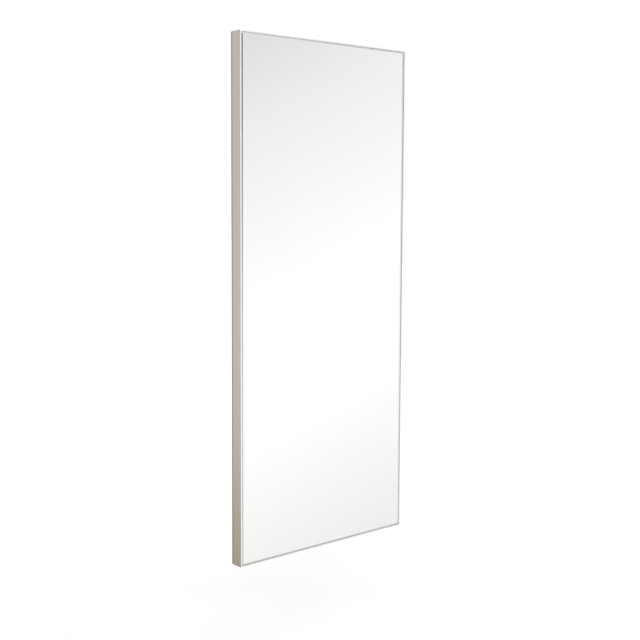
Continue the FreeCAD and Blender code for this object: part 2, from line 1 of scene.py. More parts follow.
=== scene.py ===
"""Looks of a tall wall mirror: bevelled, silvered glass in a deep satin metal frame, and its back.

Metres, in the frame of the solids: +Z is up, +X is right seen from the front, and +Y points at the wall.
The solids keep their shapes. Each sub-assembly here is a class that dresses its own solids, and the
studio has classes of its own: the camera, the soft lamps, the floor, and what glass and metal show.
"""
import logging
import math
from dataclasses import dataclass
from enum import Enum
from typing import Sequence, Union

import bpy
import numpy as np
from mathutils import Euler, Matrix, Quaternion, Vector


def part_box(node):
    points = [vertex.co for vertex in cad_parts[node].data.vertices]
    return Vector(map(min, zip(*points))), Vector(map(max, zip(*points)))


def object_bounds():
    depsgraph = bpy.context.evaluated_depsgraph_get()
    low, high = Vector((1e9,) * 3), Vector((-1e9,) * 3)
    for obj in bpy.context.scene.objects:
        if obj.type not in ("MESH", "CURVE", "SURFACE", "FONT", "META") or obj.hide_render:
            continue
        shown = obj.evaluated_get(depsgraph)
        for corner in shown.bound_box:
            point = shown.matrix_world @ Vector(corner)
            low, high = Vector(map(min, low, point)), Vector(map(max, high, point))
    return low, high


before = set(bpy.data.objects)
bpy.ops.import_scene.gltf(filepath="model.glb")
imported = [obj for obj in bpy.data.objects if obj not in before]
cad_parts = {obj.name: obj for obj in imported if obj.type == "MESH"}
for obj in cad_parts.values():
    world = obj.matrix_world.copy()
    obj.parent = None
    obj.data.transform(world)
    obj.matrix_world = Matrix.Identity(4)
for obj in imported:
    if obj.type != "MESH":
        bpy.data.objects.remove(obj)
CAD_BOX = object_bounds()

SIDES = ("left", "top", "right", "bottom")
CORNERS = ("top_left", "top_right", "bottom_right", "bottom_left")

Colour = tuple[float, float, float]
Point = tuple[float, float, float]
Span = tuple[float, float]
Tones = tuple[tuple[float, Colour], ...]
Socket = bpy.types.NodeSocket
Feed = Union[float, Sequence[float], Socket]

BLACK: Colour = (0.0, 0.0, 0.0)
WHITE: Colour = (1.0, 1.0, 1.0)
UNIT: Span = (0.0, 1.0)
SINES: Span = (-1.0, 1.0)
# Span that most values of a noise lie in
CLOUDS: Span = (0.3, 0.7)
# Point beside and above the mirror that a grain is turned about, so that it is centred on no piece
TURNING_POINT: Point = (1.3, 0.0, 1.7)

log = logging.getLogger("wall_mirror")


class Grain(Enum):
    """Way a metal piece was brushed or drawn, as the turn about Y, in degrees, that lays it along Z."""

    UPRIGHT = 0.0
    LEVEL = 90.0

    @property
    def word(self) -> str:
        """Its word in the names of finishes."""
        return self.name.lower()

    @property
    def sides(self) -> tuple[str, str]:
        """Sides of the mirror whose pieces run this way."""
        return ("left", "right") if self is Grain.UPRIGHT else ("top", "bottom")


@dataclass(frozen=True)
class Relief:
    """Bump of a surface: metres from its lowest to its highest point, and the share of it that shows."""

    depth: float
    shows: float


class Wiring:
    """Lays nodes into one tree and joins them.

    Args:
        tree: node tree of a material, of the world or of a group.
    """

    def __init__(self, tree: bpy.types.NodeTree) -> None:
        """Keep the tree."""
        self.tree = tree

    def add(self, kind: str, **settings: object) -> bpy.types.Node:
        """Add a node.

        Args:
            kind: the node's type.
            settings: its properties by name.
        Returns:
            The node.
        """
        node = self.tree.nodes.new(kind)
        for name, value in settings.items():
            setattr(node, name, value)
        return node

    def feed(self, socket: Socket, value: Feed) -> None:
        """Join an output to a socket, or set the socket's plain value.

        Args:
            socket: input that is fed.
            value: output socket, number, vector or colour.
        """
        if isinstance(value, Socket):
            self.tree.links.new(value, socket)
        elif socket.type == "RGBA":
            socket.default_value = (*value, 1.0)
        else:
            socket.default_value = value

    def math(self, operation: str, first: Feed, second: Feed = 0.0) -> Socket:
        """Join two values with one operation of a Math node.

        Args:
            operation: name of the operation.
            first: its first value.
            second: its second value.
        Returns:
            The result.
        """
        node = self.add("ShaderNodeMath", operation=operation)
        self.feed(node.inputs[0], first)
        self.feed(node.inputs[1], second)
        return node.outputs[0]

    def rescale(self, value: Feed, span: Span = UNIT, onto: Span = UNIT) -> Socket:
        """Carry a value from one span to another, held at its ends.

        Args:
            value: the value.
            span: ends of the span that it comes from.
            onto: ends of the span that it is carried to.
        Returns:
            The carried value.
        """
        node = self.add("ShaderNodeMapRange", clamp=True)
        for place, item in enumerate((value, *span, *onto)):
            self.feed(node.inputs[place], item)
        return node.outputs[0]

    def below(self, value: Feed, edge: float, fade: float) -> Socket:
        """Mask of what lies below an edge.

        Args:
            value: the value.
            edge: largest value that lies wholly in the mask.
            fade: how far above the edge the mask ends.
        Returns:
            1 up to the edge, falling to 0 over the fade.
        """
        return self.rescale(value, (edge + fade, edge))

    def blend(self, share: Feed, low: Feed, high: Feed) -> Socket:
        """Mix two colours.

        Args:
            share: share of the second colour.
            low: first colour.
            high: second colour.
        Returns:
            The mixed colour.
        """
        node = self.add("ShaderNodeMix", data_type="RGBA")
        colours = [socket for socket in node.inputs if socket.type == "RGBA"]
        self.feed(node.inputs[0], share)
        self.feed(colours[0], low)
        self.feed(colours[1], high)
        return next(socket for socket in node.outputs if socket.type == "RGBA")

    def noise(self, where: Feed, scale: Feed, octaves: float, keep: float = 0.5) -> Socket:
        """Cloudy noise.

        Args:
            where: coordinates.
            scale: clouds to the metre.
            octaves: layers of ever finer clouds.
            keep: share that each layer keeps of the one before.
        Returns:
            Value about a half.
        """
        node = self.add("ShaderNodeTexNoise", noise_dimensions="3D")
        settings = {"Vector": where, "Scale": scale, "Detail": octaves, "Roughness": keep}
        for name, value in settings.items():
            self.feed(node.inputs[name], value)
        return node.outputs["Fac"]

    def apart(self, vector: Feed) -> dict[str, Socket]:
        """Split a vector.

        Args:
            vector: the vector.
        Returns:
            Its parts under X, Y and Z.
        """
        node = self.add("ShaderNodeSeparateXYZ")
        self.feed(node.inputs[0], vector)
        return {socket.name: socket for socket in node.outputs}

    def reach(self, where: Feed, half_width: float, half_height: float) -> Socket:
        """Distance beyond an upright rectangle about the origin.

        Args:
            where: coordinates.
            half_width: half of the rectangle's side along X.
            half_height: half of its side along Z.
        Returns:
            The larger of the two distances past its sides, negative inside it.
        """
        parts = self.apart(where)
        past = [
            self.math("SUBTRACT", self.math("ABSOLUTE", parts[axis]), half)
            for axis, half in (("X", half_width), ("Z", half_height))
        ]
        return self.math("MAXIMUM", *past)

    def turned(self, where: Feed, degrees: float) -> Socket:
        """Coordinates turned about the turning point, so that a grain runs along Z.

        Args:
            where: coordinates.
            degrees: turn about Y.
        Returns:
            The turned coordinates.
        """
        node = self.add("ShaderNodeMapping", vector_type="TEXTURE")
        turn = (0.0, math.radians(degrees), 0.0)
        for name, value in (("Vector", where), ("Location", TURNING_POINT), ("Rotation", turn)):
            self.feed(node.inputs[name], value)
        return node.outputs["Vector"]

    def effect(self, shared: "Effect", where: Feed, **values: Feed) -> Socket:
        """Place a shared effect.

        Args:
            shared: the effect.
            where: coordinates that it is laid on.
            values: its other inputs by name.
        Returns:
            Its one output.
        """
        node = self.add("ShaderNodeGroup", node_tree=shared.tree())
        self.feed(node.inputs["Coordinates"], where)
        for name, value in values.items():
            self.feed(node.inputs[name], value)
        return node.outputs[0]


class Surface(Wiring):
    """Wiring of one material, with its shader and the coordinates on its piece.

    Args:
        material: material whose tree is empty.
    """

    def __init__(self, material: bpy.types.Material) -> None:
        """Lay the shader, joined to the material's output, and the coordinates."""
        super().__init__(material.node_tree)
        self.shader = self.add("ShaderNodeBsdfPrincipled")
        output = self.add("ShaderNodeOutputMaterial")
        self.feed(output.inputs["Surface"], self.shader.outputs["BSDF"])
        self.where: Socket = self.add("ShaderNodeTexCoord").outputs["Object"]

    def give(self, name: str, value: Feed) -> None:
        """Feed the shader's input of that name."""
        self.feed(self.shader.inputs[name], value)

    def bump(self, height: Feed, relief: Relief) -> None:
        """Give the surface its relief.

        Args:
            height: height from 0 to 1.
            relief: how deep it is, and how much of it shows.
        """
        node = self.add("ShaderNodeBump")
        for name, value in (("Strength", relief.shows), ("Distance", relief.depth), ("Height", height)):
            self.feed(node.inputs[name], value)
        self.give("Normal", node.outputs["Normal"])


@dataclass(frozen=True)
class Effect:
    """Node group that several finishes share: coordinates and numbers in, one value from 0 to 1 out."""

    name: str
    inputs: tuple[str, ...]
    output: str

    def tree(self) -> bpy.types.NodeTree:
        """Give the group, which is built at its first use.

        Returns:
            The group.
        """
        if self.name in bpy.data.node_groups:
            return bpy.data.node_groups[self.name]
        made = bpy.data.node_groups.new(self.name, "ShaderNodeTree")
        made.interface.new_socket("Coordinates", in_out="INPUT", socket_type="NodeSocketVector")
        for title in self.inputs:
            made.interface.new_socket(title, in_out="INPUT", socket_type="NodeSocketFloat")
        made.interface.new_socket(self.output, in_out="OUTPUT", socket_type="NodeSocketFloat")
        wiring = Wiring(made)
        given = {socket.name: socket for socket in wiring.add("NodeGroupInput").outputs}
        sink = wiring.add("NodeGroupOutput")
        wiring.feed(sink.inputs[self.output], self.lay(wiring, given))
        return made

    def lay(self, wiring: Wiring, given: dict[str, Socket]) -> Socket:
        """Lay the nodes of one effect.

        Args:
            wiring: the group's wiring.
            given: the group's inputs by name.
        Returns:
            The value that the group puts out.
        """
        raise NotImplementedError


@dataclass(frozen=True)
class BrushedGrain(Effect):
    """Fine lines along Z: noise stretched by few streaks along and many lines across."""

    name: str = "brushed_grain"
    inputs: tuple[str, ...] = ("Lines", "Streaks")
    output: str = "Grain"
    octaves: float = 5.0
    keep: float = 0.65

    def lay(self, wiring: Wiring, given: dict[str, Socket]) -> Socket:
        """Multiply each coordinate by its density, and lay noise on the products.

        Args:
            wiring: the group's wiring.
            given: the group's inputs by name.
        Returns:
            The grain.
        """
        parts = wiring.apart(given["Coordinates"])
        stretched = wiring.add("ShaderNodeCombineXYZ")
        for axis, density in (("X", "Lines"), ("Y", "Lines"), ("Z", "Streaks")):
            product = wiring.math("MULTIPLY", parts[axis], given[density])
            wiring.feed(stretched.inputs[axis], product)
        lines = wiring.noise(stretched.outputs[0], scale=1.0, octaves=self.octaves, keep=self.keep)
        return wiring.rescale(lines, CLOUDS)


@dataclass(frozen=True)
class SoftMottle(Effect):
    """Large soft patches, as handling and an uneven bath leave them."""

    name: str = "soft_mottle"
    inputs: tuple[str, ...] = ("Patches",)
    output: str = "Mottle"
    octaves: float = 2.0

    def lay(self, wiring: Wiring, given: dict[str, Socket]) -> Socket:
        """Lay smooth noise.

        Args:
            wiring: the group's wiring.
            given: the group's inputs by name.
        Returns:
            The patches.
        """
        clouds = wiring.noise(given["Coordinates"], given["Patches"], self.octaves)
        return wiring.rescale(clouds, CLOUDS)


@dataclass(frozen=True)
class FinePits(Effect):
    """Close-set rounded pits: distance to the nearest of many scattered points."""

    name: str = "fine_pits"
    inputs: tuple[str, ...] = ("Pits",)
    output: str = "Height"
    distances: Span = (0.05, 0.6)

    def lay(self, wiring: Wiring, given: dict[str, Socket]) -> Socket:
        """Lay smooth cells.

        Args:
            wiring: the group's wiring.
            given: the group's inputs by name.
        Returns:
            0 in a pit and 1 between pits.
        """
        cells = wiring.add("ShaderNodeTexVoronoi", voronoi_dimensions="3D", feature="SMOOTH_F1")
        wiring.feed(cells.inputs["Vector"], given["Coordinates"])
        wiring.feed(cells.inputs["Scale"], given["Pits"])
        return wiring.rescale(cells.outputs["Distance"], self.distances)


@dataclass(frozen=True)
class Finish:
    """What every finish shares: its name, and a material on the piece's own coordinates.

    Lengths are in metres. Lines, streaks, patches, pits and the like are counted to the metre.
    """

    name: str

    def material(self) -> bpy.types.Material:
        """Make the material.

        Returns:
            The material, with its nodes laid by the finish.
        """
        made = bpy.data.materials.new(self.name)
        made.use_nodes = True
        made.node_tree.nodes.clear()
        self.lay(Surface(made))
        return made

    def lay(self, coat: Surface) -> None:
        """Lay the nodes of one finish.

        Args:
            coat: the material's wiring, shader and coordinates.
        """
        raise NotImplementedError


@dataclass(frozen=True)
class SatinRail(Finish):
    """Champagne anodised aluminium, brushed along the rail, with a pale, bright-cut rim whose tone
    carries painted light and shade.
    """

    grain: Grain
    # Half sides of the frame, and the depth of its front face
    half_width: float
    half_height: float
    front: float
    rim_width: float
    # Pale rim tone: the upright copy gets a painted lit tone and the level copy a painted shaded tone
    rim: Colour
    rim_depth: float = 0.0006
    lip_depth: float = 0.003
    line: float = 0.0002
    dark: Colour = (0.485, 0.462, 0.410)
    light: Colour = (0.545, 0.525, 0.475)
    warm: Colour = (0.520, 0.488, 0.430)
    warm_share: float = 0.4
    roughness: Span = (0.26, 0.36)
    rim_roughness: float = 0.28
    rim_metal: float = 0.2
    lines: float = 3200.0
    streaks: float = 16.0
    patches: float = 7.0
    relief: Relief = Relief(depth=0.00003, shows=0.25)

    def lay(self, coat: Surface) -> None:
        """Lay brushed lines over soft patches, and the pale rim.

        Args:
            coat: the material's wiring, shader and coordinates.
        """
        along = coat.turned(coat.where, self.grain.value)
        lines = coat.effect(BrushedGrain(), along, Lines=self.lines, Streaks=self.streaks)
        patches = coat.effect(SoftMottle(), coat.where, Patches=self.patches)
        rim = self.rim_mask(coat)
        satin = coat.blend(lines, self.dark, self.light)
        satin = coat.blend(coat.rescale(patches, onto=(0.0, self.warm_share)), satin, self.warm)
        coat.give("Base Color", coat.blend(rim, satin, self.rim))
        brushed = coat.rescale(lines, onto=self.roughness)
        polished = coat.math("MULTIPLY", coat.math("SUBTRACT", brushed, self.rim_roughness), rim)
        coat.give("Roughness", coat.math("SUBTRACT", brushed, polished))
        coat.give("Metallic", coat.rescale(rim, onto=(1.0, self.rim_metal)))
        coat.bump(lines, self.relief)

    def rim_mask(self, coat: Surface) -> Socket:
        """Where the rim is pale.

        Args:
            coat: the material's wiring, shader and coordinates.
        Returns:
            1 within the rim's depth of the front face, and on the lip that faces the glass.
        """
        depth = coat.apart(coat.where)["Y"]
        face = coat.below(depth, self.front + self.rim_depth - self.line, self.line)
        shallow = coat.below(depth, self.front + self.lip_depth, self.line)
        reach = coat.reach(coat.where, self.half_width, self.half_height)
        inside = coat.below(reach, self.line - self.rim_width, self.line)
        return coat.math("MAXIMUM", face, coat.math("MULTIPLY", shallow, inside))


@dataclass(frozen=True)
class BevelledGlass(Finish):
    """Clear float glass with a finely ground bevel round its front, tinted grey as painted shade for the
    line round the glass.
    """

    # Half sides of the pane, and the depth of its front face
    half_width: float
    half_height: float
    front: float
    bevel_width: float
    bevel_depth: float
    clear: Colour = WHITE
    # Grey that the bevel is tinted with: painted shade for the dark line round the glass
    bevel_grey_painted_shade: Colour = (0.74, 0.75, 0.75)
    ground_roughness: Span = (0.07, 0.13)
    grind: float = 900.0
    grind_octaves: float = 3.0
    ior: float = 1.52
    line: float = 0.0001

    def lay(self, coat: Surface) -> None:
        """Lay clear glass, and the ground bevel within its width of the edge and its depth of the front,
        tinted grey as painted shade.

        Args:
            coat: the material's wiring, shader and coordinates.
        """
        reach = coat.reach(coat.where, self.half_width, self.half_height)
        beyond = coat.rescale(reach, (-self.bevel_width - self.line, -self.bevel_width))
        foot = self.front + self.bevel_depth
        before = coat.below(coat.apart(coat.where)["Y"], foot + self.line, self.line)
        bevel = coat.math("MULTIPLY", beyond, before)
        # The bevel's grey is painted shade
        coat.give("Base Color", coat.blend(bevel, self.clear, self.bevel_grey_painted_shade))
        clouds = coat.noise(coat.where, self.grind, self.grind_octaves)
        marks = coat.rescale(clouds, CLOUDS, self.ground_roughness)
        coat.give("Roughness", coat.math("MULTIPLY", marks, bevel))
        coat.give("Transmission Weight", 1.0)
        coat.give("IOR", self.ior)


@dataclass(frozen=True)
class SilverBacking(Finish):
    """Bright silver towards the glass, grey protective paint behind."""

    # Depth where silver meets paint
    middle: float
    silver: Colour = (0.995, 0.995, 0.992)
    paint: Colour = (0.22, 0.25, 0.27)
    fleck: Colour = (0.30, 0.33, 0.34)
    paint_roughness: Span = (0.42, 0.58)
    line: float = 0.00002
    flecks: float = 260.0
    fleck_octaves: float = 4.0
    fleck_span: Span = (0.35, 0.65)

    def lay(self, coat: Surface) -> None:
        """Lay silver before the middle of the layer and flecked paint behind it.

        Args:
            coat: the material's wiring, shader and coordinates.
        """
        depth = coat.apart(coat.where)["Y"]
        silvered = coat.rescale(depth, (self.middle + self.line, self.middle - self.line))
        flecks = coat.noise(coat.where, self.flecks, self.fleck_octaves)
        flecks = coat.rescale(flecks, self.fleck_span)
        painted = coat.blend(flecks, self.paint, self.fleck)
        coat.give("Base Color", coat.blend(silvered, painted, self.silver))
        coat.give("Metallic", silvered)
        matt = coat.rescale(flecks, onto=self.paint_roughness)
        bare = coat.math("SUBTRACT", 1.0, silvered)
        coat.give("Roughness", coat.math("MULTIPLY", matt, bare))


@dataclass(frozen=True)
class FoamTape(Finish):
    """Pale closed-cell foam."""

    low: Colour = (0.66, 0.66, 0.63)
    high: Colour = (0.84, 0.84, 0.81)
    roughness: float = 0.9
    cells: float = 1900.0
    patches: float = 40.0
    patch_tones: Span = (0.75, 1.0)
    relief: Relief = Relief(depth=0.0002, shows=0.7)

    def lay(self, coat: Surface) -> None:
        """Lay open-cut cells over soft patches.

        Args:
            coat: the material's wiring, shader and coordinates.
        """
        cells = coat.effect(FinePits(), coat.where, Pits=self.cells)
        patches = coat.effect(SoftMottle(), coat.where, Patches=self.patches)
        tone = coat.math("MULTIPLY", cells, coat.rescale(patches, onto=self.patch_tones))
        coat.give("Base Color", coat.blend(tone, self.low, self.high))
        coat.give("Roughness", self.roughness)
        coat.bump(cells, self.relief)


@dataclass(frozen=True)
class Hardboard(Finish):
    """Pressed wood-fibre board, with fibres, darker specks and the mesh of the press screen."""

    screen_pitch: float
    dark: Colour = (0.185, 0.098, 0.048)
    light: Colour = (0.335, 0.200, 0.110)
    speck: Colour = (0.085, 0.045, 0.024)
    roughness: Span = (0.78, 0.58)
    fibres: float = 380.0
    fibre_slimness: float = 6.0
    fibre_turns: tuple[float, ...] = (8.0, 52.0, 97.0, 141.0)
    fibre_span: Span = (0.25, 0.75)
    patches: float = 12.0
    patch_tones: Span = (0.55, 1.0)
    specks: float = 700.0
    speck_span: Span = (0.02, 0.2)
    speck_share: float = 0.75
    relief: Relief = Relief(depth=0.00022, shows=0.6)

    def lay(self, coat: Surface) -> None:
        """Lay fibres, soft patches, scattered specks and the screen's mesh.

        Args:
            coat: the material's wiring, shader and coordinates.
        """
        fibre = self.felt(coat)
        patches = coat.effect(SoftMottle(), coat.where, Patches=self.patches)
        tone = coat.math("MULTIPLY", fibre, coat.rescale(patches, onto=self.patch_tones))
        board = coat.blend(tone, self.dark, self.light)
        scattered = coat.effect(FinePits(), coat.where, Pits=self.specks)
        flecked = coat.rescale(scattered, self.speck_span, (self.speck_share, 0.0))
        coat.give("Base Color", coat.blend(flecked, board, self.speck))
        coat.give("Roughness", coat.rescale(fibre, onto=self.roughness))
        coat.bump(self.screen(coat), self.relief)

    def felt(self, coat: Surface) -> Socket:
        """Mean of short grains at several turns.

        Args:
            coat: the material's wiring, shader and coordinates.
        Returns:
            The felted fibres, from 0 to 1.
        """
        streaks = self.fibres / self.fibre_slimness
        mean: Feed = 0.0
        for turn in self.fibre_turns:
            along = coat.turned(coat.where, turn)
            layer = coat.effect(BrushedGrain(), along, Lines=self.fibres, Streaks=streaks)
            mean = coat.math("ADD", mean, coat.math("DIVIDE", layer, len(self.fibre_turns)))
        return coat.rescale(mean, self.fibre_span)

    def screen(self, coat: Surface) -> Socket:
        """Crossed waves: the sine along X times the sine along Z, one wave to the pitch.

        Args:
            coat: the material's wiring, shader and coordinates.
        Returns:
            The height, from 0 to 1.
        """
        parts = coat.apart(coat.where)
        turns = 2 * math.pi / self.screen_pitch
        waves = [coat.math("SINE", coat.math("MULTIPLY", parts[axis], turns)) for axis in ("X", "Z")]
        return coat.rescale(coat.math("MULTIPLY", *waves), SINES)


@dataclass(frozen=True)
class PlatedSteel(Finish):
    """Bright zinc on pressed or drawn steel."""

    grain: Grain = Grain.UPRIGHT
    dark: Colour = (0.52, 0.535, 0.56)
    light: Colour = (0.70, 0.71, 0.725)
    tint: Colour = (0.62, 0.61, 0.66)
    tint_share: float = 0.35
    roughness: Span = (0.20, 0.36)
    lines: float = 2400.0
    streaks: float = 160.0
    patches: float = 170.0
    pits: float = 5200.0
    relief: Relief = Relief(depth=0.00002, shows=0.35)

    def lay(self, coat: Surface) -> None:
        """Lay drawing lines, cloudy plating with a faint tint, and fine pits.

        Args:
            coat: the material's wiring, shader and coordinates.
        """
        along = coat.turned(coat.where, self.grain.value)
        lines = coat.effect(BrushedGrain(), along, Lines=self.lines, Streaks=self.streaks)
        patches = coat.effect(SoftMottle(), coat.where, Patches=self.patches)
        plated = coat.blend(patches, self.dark, self.light)
        share = coat.rescale(lines, onto=(0.0, self.tint_share))
        coat.give("Base Color", coat.blend(share, plated, self.tint))
        coat.give("Roughness", coat.rescale(lines, onto=self.roughness))
        coat.give("Metallic", 1.0)
        coat.bump(coat.effect(FinePits(), coat.where, Pits=self.pits), self.relief)


@dataclass(frozen=True)
class SpringStrip(Finish):
    """Tempered strip, blue-grey with straw patches."""

    blue: Colour = (0.300, 0.325, 0.360)
    straw: Colour = (0.440, 0.405, 0.345)
    roughness: Span = (0.24, 0.42)
    lines: float = 2800.0
    line_tones: Span = (0.5, 1.0)
    streaks: float = 40.0
    patches: float = 26.0
    relief: Relief = Relief(depth=0.00002, shows=0.3)

    def lay(self, coat: Surface) -> None:
        """Lay temper colours in soft patches under rolling lines.

        Args:
            coat: the material's wiring, shader and coordinates.
        """
        lines = coat.effect(BrushedGrain(), coat.where, Lines=self.lines, Streaks=self.streaks)
        patches = coat.effect(SoftMottle(), coat.where, Patches=self.patches)
        temper = coat.math("MULTIPLY", patches, coat.rescale(lines, onto=self.line_tones))
        coat.give("Base Color", coat.blend(temper, self.blue, self.straw))
        coat.give("Roughness", coat.rescale(lines, onto=self.roughness))
        coat.give("Metallic", 1.0)
        coat.bump(lines, self.relief)


@dataclass(frozen=True)
class CastAlloy(Finish):
    """Plain die-cast alloy with a dull, pitted skin."""

    dark: Colour = (0.40, 0.40, 0.41)
    light: Colour = (0.56, 0.56, 0.55)
    roughness: Span = (0.42, 0.60)
    patches: float = 60.0
    pits: float = 1500.0
    relief: Relief = Relief(depth=0.00012, shows=0.5)

    def lay(self, coat: Surface) -> None:
        """Lay a pitted skin over soft flow patches.

        Args:
            coat: the material's wiring, shader and coordinates.
        """
        pits = coat.effect(FinePits(), coat.where, Pits=self.pits)
        patches = coat.effect(SoftMottle(), coat.where, Patches=self.patches)
        coat.give("Base Color", coat.blend(patches, self.dark, self.light))
        coat.give("Roughness", coat.rescale(pits, onto=self.roughness))
        coat.give("Metallic", 1.0)
        coat.bump(pits, self.relief)


@dataclass(frozen=True)
class MouldedRubber(Finish):
    """Dark matt moulded rubber."""

    pits: float
    dark: Colour = (0.018, 0.018, 0.019)
    light: Colour = (0.052, 0.052, 0.053)
    roughness: Span = (0.62, 0.82)
    patches: float = 300.0
    relief: Relief = Relief(depth=0.00008, shows=0.5)

    def lay(self, coat: Surface) -> None:
        """Lay a fine moulded grain under a faint bloom.

        Args:
            coat: the material's wiring, shader and coordinates.
        """
        pits = coat.effect(FinePits(), coat.where, Pits=self.pits)
        bloom = coat.effect(SoftMottle(), coat.where, Patches=self.patches)
        coat.give("Base Color", coat.blend(bloom, self.dark, self.light))
        coat.give("Roughness", coat.rescale(pits, onto=self.roughness))
        coat.bump(pits, self.relief)


def dress(finish: Finish, nodes: Sequence[str]) -> None:
    """Give one finish to a number of solids.

    Args:
        finish: the finish, of which one material is made.
        nodes: names of the solids.
    """
    material = finish.material()
    for name in nodes:
        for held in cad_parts[name].material_slots:
            held.material = material
        log.info("%s: %s", name, finish.name)


def grid_mesh(name: str, points: np.ndarray) -> bpy.types.Mesh:
    """Mesh of quads over a grid of points, each quad between two neighbouring rows and columns.

    Args:
        name: name of the mesh.
        points: rows x columns x 3 array.
    Returns:
        The mesh, whose faces point along row x column.
    """
    rows, columns = points.shape[:2]
    index = np.arange(rows * columns).reshape(rows, columns)
    faces = np.stack((index[:-1, :-1], index[1:, :-1], index[1:, 1:], index[:-1, 1:]), axis=-1)
    mesh = bpy.data.meshes.new(name)
    mesh.from_pydata(points.reshape(-1, 3).tolist(), [], faces.reshape(-1, 4).tolist())
    mesh.update()
    return mesh


@dataclass
class MirrorFrame:
    """Four mitred rails, with the keys and screws that hold their corners."""

    rim_width: float = 0.0035
    # One pale rim in two tones, paler on the upright rails and darker on the level ones: painted light
    # and painted shade
    upright_rim_painted_light: Colour = (0.965, 0.950, 0.912)
    level_rim_painted_shade: Colour = (0.840, 0.835, 0.825)

    def dress(self) -> None:
        """Brush each rail along its length, give the upright and the level rims their painted lit and
        shaded tones, and finish what holds the corners.
        """
        low, high = CAD_BOX
        for grain, rim in ((Grain.UPRIGHT, self.upright_rim_painted_light), (Grain.LEVEL, self.level_rim_painted_shade)):
            finish = SatinRail(
                f"satin_rail_{grain.word}", grain, half_width=high.x, half_height=high.z, front=low.y,
                rim_width=self.rim_width, rim=rim,
            )
            dress(finish, [f"frame_rail_{side}" for side in grain.sides])
        dress(CastAlloy("cast_key"), [f"corner_key_{corner}" for corner in CORNERS])
        dress(PlatedSteel("plated_corner_screw"), ["corner_screws"])


@dataclass
class MirrorPane:
    """Glass pane, its silvering, and the tape that bonds it to the rails."""

    bevel_width: float = 0.004
    bevel_depth: float = 0.0012

    def dress(self) -> None:
        """Finish the glass with its ground bevel, the silver behind it and the tape."""
        low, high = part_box("mirror_glass")
        glass = BevelledGlass(
            "bevelled_glass", half_width=high.x, half_height=high.z, front=low.y,
            bevel_width=self.bevel_width, bevel_depth=self.bevel_depth,
        )
        dress(glass, ["mirror_glass"])
        front, back = (corner.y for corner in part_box("mirror_silvering"))
        dress(SilverBacking("silver_backing", middle=(front + back) / 2), ["mirror_silvering"])
        dress(FoamTape("foam_tape"), [f"mounting_tape_{side}" for side in SIDES])


@dataclass
class BackClosure:
    """Hardboard panel and the bowed springs that wedge it in."""

    screen_pitch: float = 0.0021

    def dress(self) -> None:
        """Finish the board with its press screen, and the springs."""
        dress(Hardboard("hardboard", screen_pitch=self.screen_pitch), ["back_panel"])
        dress(SpringStrip("spring_strip"), ["panel_springs"])


@dataclass
class HangingGear:
    """Straps, rings and screws, for hanging the mirror upright or on its side."""

    wire_lines: float = 3600.0
    wire_roughness: Span = (0.16, 0.30)

    def dress(self) -> None:
        """Finish straps and rings along their own length, and the screws."""
        for grain in Grain:
            strap = PlatedSteel(f"plated_strap_{grain.word}", grain)
            dress(strap, [f"hanger_strap_{side}" for side in grain.sides])
            wire = PlatedSteel(
                f"plated_wire_{grain.word}", grain, roughness=self.wire_roughness, lines=self.wire_lines,
            )
            dress(wire, [f"hanger_ring_{side}" for side in grain.sides])
        dress(PlatedSteel("plated_hanger_screw"), ["hanger_screws"])


@dataclass
class WallBumpers:
    """Rubber bumpers that keep the mirror off the wall."""

    grain_pits: float = 2600.0

    def dress(self) -> None:
        """Finish the four bumpers."""
        finish = MouldedRubber("bumper_rubber", pits=self.grain_pits)
        dress(finish, [f"wall_bumper_{corner}" for corner in CORNERS])


@dataclass(frozen=True)
class StudioCamera:
    """Camera: its place, its turns in degrees, its lens and sensor in millimetres, its shift."""

    place: Point = (-2.0463, -2.3212, 0.2747)
    yaw: float = 41.663
    pitch: float = -5.583
    roll: float = 0.307
    lens: float = 62.333
    sensor: float = 36.0
    shift_up: float = -0.02

    def aim(self) -> None:
        """Set the camera up: turned right by the yaw, tipped by the pitch, then rolled."""
        lens = bpy.data.cameras.new("studio_camera")
        lens.lens = self.lens
        lens.sensor_width = self.sensor
        lens.shift_y = self.shift_up
        camera = bpy.data.objects.new("studio_camera", lens)
        camera.location = self.place
        # A camera that isn't turned looks straight down
        tip = math.pi / 2 + math.radians(self.pitch)
        level = Euler((tip, 0.0, -math.radians(self.yaw))).to_quaternion()
        roll = Quaternion((0.0, 0.0, 1.0), math.radians(self.roll))
        camera.rotation_mode = "QUATERNION"
        camera.rotation_quaternion = level @ roll
        bpy.context.scene.collection.objects.link(camera)
        bpy.context.scene.camera = camera


@dataclass(frozen=True)
class SoftBox:
    """Large soft lamp: its place, its side, its power and the point that it faces."""

    name: str
    place: Point
    side: float
    watts: float
    aim: Point = (0.0, 0.0, 0.0)

    def light(self) -> None:
        """Hang the lamp. It lights matt surfaces; what shines shows the studio's own tones instead."""
        lamp = bpy.data.lights.new(self.name, "AREA")
        lamp.shape = "SQUARE"
        lamp.size = self.side
        lamp.energy = self.watts
        held = bpy.data.objects.new(self.name, lamp)
        held.location = self.place
        towards = Vector(self.aim) - Vector(self.place)
        held.rotation_euler = towards.to_track_quat("-Z", "Y").to_euler()
        held.visible_camera = False
        held.visible_glossy = False
        held.visible_transmission = False
        bpy.context.scene.collection.objects.link(held)


